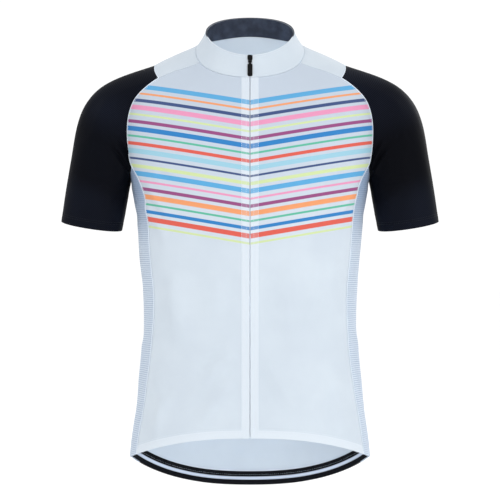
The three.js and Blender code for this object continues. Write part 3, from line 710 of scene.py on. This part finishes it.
# Side panels. Narrow strips of open white mesh from the armpit to the hem. A raised white
# flatlock seam joins each to its front and to the back.
def cord_along(name, runs, inset, radius, material):
    """A thin round cord laid along some runs."""
    data = bpy.data.curves.new(name, "CURVE")
    data.dimensions = "3D"
    data.bevel_depth = radius
    data.bevel_resolution = 2
    data.use_fill_caps = True
    for run in runs:
        line = data.splines.new("POLY")
        line.points.add(len(run) - 1)
        for place, (point, inward, _) in zip(line.points, run):
            place.co = (*(point + inward * inset), 1)
    drawn = bpy.data.objects.new(name, data)
    bpy.context.scene.collection.objects.link(drawn)
    bpy.context.view_layer.update()
    mesh = bpy.data.meshes.new_from_object(
        drawn.evaluated_get(bpy.context.evaluated_depsgraph_get())
    )
    bpy.data.objects.remove(drawn)
    mesh.materials.clear()
    for polygon in mesh.polygons:
        polygon.use_smooth = True
    piece = new_piece(name, mesh, material)
    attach(piece, "jersey")
    return piece


mesh_light = linear(192, 204, 217)
mesh_hole_shade = linear(146, 162, 186)
mesh_armpit_shade = linear(122, 146, 180)
mesh_row = 3.3 * mm
mesh_column = 2.6 * mm
side_mesh, shades, shader = new_material("side_mesh")
across, up = grain_of(shades)
rows = across.maths("SINE", up * (2 * math.pi / mesh_row))
columns = across.maths("SINE", across * (2 * math.pi / mesh_column))
# The mesh's holes are painted darker: painted shade of the jersey's inside seen through them.
holes = (rows * (0.65 + 0.35 * columns)).step(0.1, 0.55)
# Painted shade under the arm: the mesh turns a darker blue from 310 mm below the neck up to the
# armpit.
armpit_shade_mask = up.step(-310 * mm, -180 * mm)
set_finish(
    shades,
    shader,
    (armpit_shade_mask * 0.8).mix(holes.mix(mesh_light, mesh_hole_shade), mesh_armpit_shade),
    0.75,
    1 - holes,
    0.35 * mm,
    Specular_IOR_Level=0.3,
    Sheen_Weight=0.1,
)
for side in ("right", "left"):
    panel = fine_wall(f"side_panel_{side}", 3)
    press_creases(panel, body_creases, body_outward)
    side_edges = cut_edges(panel, body_outward, lambda middle, way: abs(way.z) < 0.7)
    press_seam(panel, body_outward, side_edges)
    lay_grain(panel, body_turn, height_of)
    panel.data.materials.append(side_mesh)
    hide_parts(f"side_panel_{side}")
    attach(panel, "jersey")
    panel_hem = cut_edges(panel, body_outward, on_hem)
    rows = [(side_edges, side_row)] + [(panel_hem, row) for row in tail_rows]
    sewn += stitch_places(panel, rows)

flatlock = cord_along("side_seams", side_runs, 0.2 * mm, 0.65 * mm, white_thread)

# Sleeves. Black knit with a fine diagonal rib, set in at the armhole, with a plain turned hem.
sleeve_top = np.array([172, 0, -100]) * mm
sleeve_end = np.array([253, 0, -262]) * mm
sleeve_radius = 58 * mm


def sleeve_frame(sign):
    start = sleeve_top * [sign, 1, 1]
    way = sleeve_end * [sign, 1, 1] - start
    way = way / np.linalg.norm(way)
    return start, way


def sleeve_outward(sign):
    start, way = sleeve_frame(sign)

    def outward(points):
        off = points - start
        off = off - np.outer(off @ way, way)
        return off / np.linalg.norm(off, axis=1, keepdims=True)

    return outward


def sleeve_turn(sign):
    start, way = sleeve_frame(sign)
    side_way = np.array([0.0, 1.0, 0.0])
    out_way = np.cross(side_way, way) * sign

    def turn(points):
        off = points - start
        return np.arctan2(off @ side_way, off @ out_way), sleeve_radius

    return turn


def sleeve_length(sign):
    start, way = sleeve_frame(sign)
    return lambda points: (points - start) @ way


sleeve_creases = [
    ("front", -186, -180, -216, -112, 4, 2.8, -4.2),
    ("front", -186, -190, -228, -126, 4, 3.0, -4.4),
    ("front", -200, -194, -262, -178, -4, 7, 2.6),
    ("front", -224, -62, -262, -150, -6, 10, 2.6),
    ("front", -214, -232, -246, -200, 4, 8, 2.2),
    ("back", -190, -180, -226, -106, 4, 3.6, -4.0),
    ("back", -192, -188, -246, -144, 4, 3.8, -3.8),
    ("back", -222, -60, -266, -140, -5, 10, 2.6),
    ("back", -210, -212, -268, -200, -3, 7, 2.4),
]
black_shade = linear(6, 6, 8)
black_light = linear(26, 31, 44)
rib_pitch = 2.4 * mm
sleeve_middle = 83 * mm
black_knit, shades, shader = new_material("black_knit")
across, up = grain_of(shades)
slant = across * 0.32 - up * 0.95
ribs = across.maths("SINE", slant * (2 * math.pi / rib_pitch))
# Painted sheen: the black turns to a lighter navy in soft mottled patches near the shoulder and the
# cuff, least in the middle of the sleeve.
painted_sheen_band = 0.3 + 0.7 * abs(up - sleeve_middle).step(28 * mm, 74 * mm)
lit = (0.5 + 0.5 * cloth_mottle(shades, 8, 2).step(0.3, 0.75)) * painted_sheen_band
set_finish(
    shades,
    shader,
    (lit * (0.55 + 0.45 * ribs)).mix(black_shade, black_light),
    0.55,
    0.5 + 0.5 * ribs,
    0.14 * mm,
    Specular_IOR_Level=0.02,
)
black_thread, shades, shader = new_material("black_thread")
set_finish(
    shades, shader, linear(22, 24, 30), 0.55, cloth_mottle(shades, 900, 2), 0.05 * mm,
    Specular_IOR_Level=0.2,
)
cuff_hem = 12.6 * mm
cuff_rows = [11.2 * mm, 14.4 * mm]
sleeve_sewn = []
for side, sign in (("right", -1), ("left", 1)):
    sleeve = fine_wall(f"sleeve_{side}", 3)
    creases = [
        (face, -sign * x1, z1, -sign * x2, z2, -sign * bow, width, depth)
        for face, x1, z1, x2, z2, bow, width, depth in sleeve_creases
    ]
    out = sleeve_outward(sign)
    press_creases(sleeve, creases, out)
    cuff = cut_edges(sleeve, out, lambda middle, way: way.z < -0.6 and middle[2] < -0.235)
    press_band(sleeve, out, cuff, cuff_hem, 0.35 * mm, cuff_rows[:1])
    sleeve_sewn += stitch_places(sleeve, [(cuff, row) for row in cuff_rows])
    lay_grain(sleeve, sleeve_turn(sign), sleeve_length(sign))
    sleeve.data.materials.append(black_knit)
    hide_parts(f"sleeve_{side}")
    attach(sleeve, "jersey")

thread = repeated("sleeve_stitches", stitch_size, sleeve_sewn, black_thread)
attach(thread, "jersey")


# Armhole piping. A thin cord of folded white knit covers each armhole seam, from the armpit
# over the shoulder, and is sewn down along it.
piping = cord_along("armhole_piping", armhole_runs, -0.25 * mm, 0.75 * mm, white_thread)

# Collar. A low stand collar of the white knit, with a navy knit lining inside it.
def neck_outward(points):
    """The level way out of the collar at each point."""
    way = points * [1, 1.2, 0]
    return way / np.linalg.norm(way, axis=1, keepdims=True)


collar_rise = 0.58
collar_front = -79 * mm
collar_middle = -15 * mm


def in_upper_half(middle):
    """Whether a point of the collar lies above the line half-way up it, which rises to the back."""
    return middle[2] > collar_rise * (middle[1] - collar_front) + collar_middle


def on_long_edge(middle, way):
    return abs(way.x) < 0.7 or abs(middle[0]) > 4 * mm


def on_collar_top(middle, way):
    return in_upper_half(middle) and on_long_edge(middle, way)


def on_collar_foot(middle, way):
    return not in_upper_half(middle) and on_long_edge(middle, way)


navy_shade = linear(36, 42, 55)
navy_light = linear(53, 61, 77)
collar_edge, shades, shader = new_material("collar_edge")
place = shades.node("ShaderNodeTexCoord", output=3)
parts = shades.node("ShaderNodeSeparateXYZ", (), {0: place})
behind = Shade(shades.tree, parts.socket.node.outputs[1]).step(-22 * mm, -16 * mm)
set_finish(
    shades, shader, behind.mix(white_double, navy_shade), 0.7,
    cloth_mottle(shades, 700, 3), 0.08 * mm, Specular_IOR_Level=0.3,
)
collar = fine_wall("collar", 3)
collar_top = cut_edges(collar, neck_outward, on_collar_top)
collar_foot = cut_edges(collar, neck_outward, on_collar_foot)
collar_ends = cut_edges(collar, neck_outward, on_zip)
press_band(collar, neck_outward, collar_ends, collar_placket, 0.45 * mm, zip_rows[:1])
press_seam(collar, neck_outward, collar_foot, 0.25 * mm, 2.2 * mm)
sewn += stitch_places(
    collar, [(collar_top, 2.8 * mm), (collar_foot, side_row), (collar_ends, zip_rows[0])]
)
lay_grain(collar, body_turn, height_of)
collar.data.materials.append(collar_knit)
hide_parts("collar")
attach(collar, "jersey")
rolled = cord_along("collar_edge", collar_top, 0.0, 0.85 * mm, collar_edge)

navy_lining, shades, shader = new_material("navy_lining")
set_finish(
    shades,
    shader,
    cloth_mottle(shades, 60, 4).step(0.3, 0.7).mix(navy_shade, navy_light),
    0.8,
    knit_height(shades, 1.3 * mm, 1.0 * mm),
    0.15 * mm,
    Specular_IOR_Level=0.25,
)
lining = fine_wall("collar_lining")
lay_grain(lining, body_turn, height_of)
lining.data.materials.append(navy_lining)
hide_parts("collar_lining")
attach(lining, "jersey")

# Zip. Two woven tapes behind the fronts' edges, a nylon coil between them, and a black
# slider with a pull tab.
tape_white = linear(238, 243, 249)
white_tape, shades, shader = new_material("white_tape")
set_finish(
    shades, shader, tape_white, 0.7, knit_height(shades, 0.9 * mm, 0.9 * mm), 0.1 * mm,
    Specular_IOR_Level=0.3,
)
for side in ("right", "left"):
    tape = fine_wall(f"zip_tape_{side}")
    lay_grain(tape, body_turn, height_of)
    tape.data.materials.append(white_tape)
    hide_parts(f"zip_tape_{side}")
    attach(tape, "jersey")

coil_pitch = 0.8 * mm
coil_loop = np.array([3.0, 1.25, 1.5]) * mm
track = BVHTree.FromPolygons(
    [vertex.co for vertex in nodes["zip_coil"].data.vertices],
    [polygon.vertices for polygon in nodes["zip_coil"].data.polygons],
)
loops = []
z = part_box("zip_coil")[0][2] + coil_loop[1] / 2
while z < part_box("zip_coil")[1][2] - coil_loop[1] / 2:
    face, out, *_ = track.ray_cast(Vector((0, -0.3, z)), Vector((0, 1, 0)))
    up = out.cross(Vector((1, 0, 0))).normalized()
    up = up if up.z > 0 else -up
    turn = 1 if len(loops) % 2 else -1
    centre = face - out * coil_loop[2] / 2 + Vector((turn * 0.7 * mm, 0, 0))
    loops.append((np.array(centre), np.array([Vector((1, 0, 0)), up, -out])))
    z += coil_pitch * up.z
coil = repeated("zip_coil_loops", coil_loop, loops, white_tape)
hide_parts("zip_coil")
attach(coil, "jersey")

black_metal, shades, shader = new_material("black_metal")
set_finish(
    shades, shader, linear(8, 8, 10), cloth_mottle(shades, 300, 2) * 0.2 + 0.28,
    cloth_mottle(shades, 900, 2), 0.03 * mm, Metallic=0.5, Specular_IOR_Level=0.25,
)
for name, body in (("zip_slider", "jersey"), ("zip_pull", "zip_pull")):
    shaped = bmesh.new()
    shaped.from_mesh(nodes[name].data)
    bmesh.ops.remove_doubles(shaped, verts=shaped.verts, dist=0.005 * mm)
    bmesh.ops.dissolve_limit(
        shaped, angle_limit=math.radians(2), verts=shaped.verts, edges=shaped.edges
    )
    mesh = bpy.data.meshes.new(name + "_metal")
    shaped.to_mesh(mesh)
    shaped.free()
    piece = bpy.data.objects.new(name + "_metal", mesh)
    bpy.context.scene.collection.objects.link(piece)
    edges = piece.modifiers.new("edges", "BEVEL")
    edges.width = 0.18 * mm
    edges.segments = 2
    edges.limit_method = "ANGLE"
    edges.angle_limit = math.radians(40)
    piece.data.materials.append(black_metal)
    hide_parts(name)
    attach(piece, body)

# Tail elastic. A striped gripper band, woven black, white and black, that is sewn inside the
# hem of the side panels and the tail, with a white cord along its upper edge.
elastic_black = linear(5, 6, 9)
elastic_sheen = linear(22, 25, 33)
elastic_white = linear(202, 209, 219)
elastic_line = linear(150, 170, 205)
elastic_rib = 1.7 * mm
elastic_stripe = [8.7 * mm, 13.7 * mm]
elastic_edge = 22.7 * mm
woven_edge = 0.1 * mm
black_elastic, shades, shader = new_material("black_elastic")
across, up = grain_of(shades)
ribs = across.maths("SINE", (across + up * 0.7) * (2 * math.pi / elastic_rib))
from_foot, from_top, from_edge = (
    up.step(height - woven_edge, height + woven_edge) for height in (*elastic_stripe, elastic_edge)
)
white = from_foot * (1 - from_top)
white = white.maths("MAXIMUM", white, from_edge)
line = 1 - abs(abs(up - sum(elastic_stripe) / 2) - 1.5 * mm).step(0.2 * mm, 0.4 * mm)
set_finish(
    shades,
    shader,
    line.mix(
        white.mix((ribs * 0.25 + 0.25).mix(elastic_black, elastic_sheen), elastic_white),
        elastic_line,
    ),
    0.7,
    0.5 + 0.5 * ribs,
    0.2 * mm,
    Specular_IOR_Level=0.08,
)
elastic = fine_wall("hem_elastic")
press_creases(elastic, body_creases, body_outward)


def inward_face(points):
    return -body_outward(points)


elastic_foot = cut_edges(elastic, inward_face, lambda middle, way: way.z < -0.7)
elastic_from_hem = 1.5 * mm
lay_grain(
    elastic, body_turn, lambda points: elastic_from_hem + distance_to(points, elastic_foot)
)
elastic.data.materials.append(black_elastic)
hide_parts("hem_elastic")
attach(elastic, "jersey")
elastic_rows = stitch_places(elastic, [(elastic_foot, 15.4 * mm)])
thread = repeated("elastic_stitches", stitch_size * [0.5, 0.8, 0.8], elastic_rows, white_thread)
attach(thread, "jersey")

# Stitching. Flat rows of white polyester thread beside the seams, the zip, the hems and the
# pockets, sewn through the cloth.
thread = repeated("white_stitches", stitch_size, sewn, white_thread)
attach(thread, "jersey")

# Studio. A pale floor below the tail, a white room's light, and the camera straight in front
# at the height of the chest.
floor_z = -0.78
floor_mesh = bpy.data.meshes.new("floor")
laid = bmesh.new()
bmesh.ops.create_grid(laid, x_segments=1, y_segments=1, size=20)
bmesh.ops.translate(laid, verts=laid.verts, vec=(0, 0, floor_z))
laid.to_mesh(floor_mesh)
laid.free()
floor = bpy.data.objects.new("floor", floor_mesh)
bpy.context.scene.collection.objects.link(floor)
floor_paint, shades, shader = new_material("floor")
shader.inputs["Base Color"].default_value = (0.97, 0.97, 0.97, 1)
shader.inputs["Roughness"].default_value = 0.9
floor.data.materials.append(floor_paint)

world = bpy.data.worlds.new("studio")
world.use_nodes = True
world.node_tree.nodes["Background"].inputs["Color"].default_value = (1, 1, 1, 1)
world.node_tree.nodes["Background"].inputs["Strength"].default_value = 1.06
bpy.context.scene.world = world

for name, place, aimed, size, power in (
    ("key", (1.9, -2.1, -0.3), (0, 0, -0.4), 0.9, 16),
    ("fill", (-1.7, -2.0, 1.2), (0, 0, -0.2), 1.2, 12),
    ("rim", (1.8, 2.2, 0.8), (0, 0, -0.3), 1.0, 15),
    ("inside", (0, -0.04, -0.36), (0, 0.1, -0.36), 0.2, 0.9),
    ("neck", (0, -0.03, -0.06), (0, 0.1, -0.02), 0.06, 0.08),
):
    data = bpy.data.lights.new(name, "AREA")
    data.size = size
    data.energy = power
    light = bpy.data.objects.new(name, data)
    light.location = place
    light.visible_camera = False
    aim = Vector(aimed) - light.location
    light.rotation_euler = aim.to_track_quat("-Z", "Y").to_euler()
    bpy.context.scene.collection.objects.link(light)

view_distance = 3.0
view_height = -301 * mm
view_width = 800 * mm
data = bpy.data.cameras.new("camera")
data.angle = 2 * math.atan(view_width / 2 / view_distance)
camera = bpy.data.objects.new("camera", data)
camera.location = (0, -view_distance, view_height)
camera.rotation_euler = (math.pi / 2, 0, 0)
bpy.context.scene.collection.objects.link(camera)
bpy.context.scene.camera = camera
bpy.context.scene.view_settings.view_transform = "Standard"
